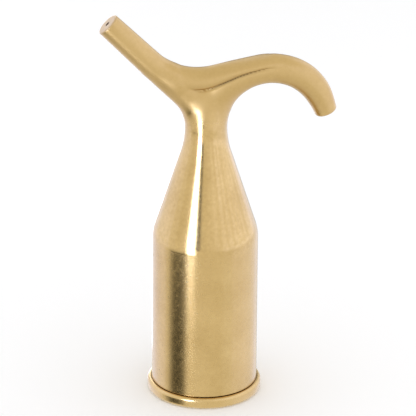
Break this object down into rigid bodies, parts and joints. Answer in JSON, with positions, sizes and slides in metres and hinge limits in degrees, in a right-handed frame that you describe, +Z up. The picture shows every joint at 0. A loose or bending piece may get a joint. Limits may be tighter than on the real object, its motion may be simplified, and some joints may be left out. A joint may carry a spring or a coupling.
{
  "type": "sash pole hook",
  "caption": "Brass pole-end fitting with a curved hook and a straight prong above a tapered neck, on a ringed socket with a clamp screw, for pulling and pushing high window sashes.",
  "frame": {"origin": "centre of the socket's open mouth, in the plane of its bottom face", "axes": "+Z up the socket's axis from the mouth to the head, +X towards the hook, -X towards the prong, +Y towards the clamp screw's side"},
  "size_m": [0.067, 0.038, 0.1143],
  "materials": {
    "head_brass": "satin, fine cast grain under light polishing",
    "socket_brass": "satin, fine turned lines round the tube",
    "ring_brass": "satin, softly rounded edges",
    "screw_brass": "turned, brighter than the casting"
  },
  "bodies": {
    "fitting": {"hook_head": "head_brass", "pole_socket": "socket_brass", "mouth_ring": "ring_brass"},
    "screw": {"clamp_screw": "screw_brass"}
  },
  "joints": [
    {"name": "clamp_screw_slide", "type": "slide", "parent": "fitting", "child": "screw", "axis": [0, -1, 0], "range_m": [0, 0.0042]}
  ]
}
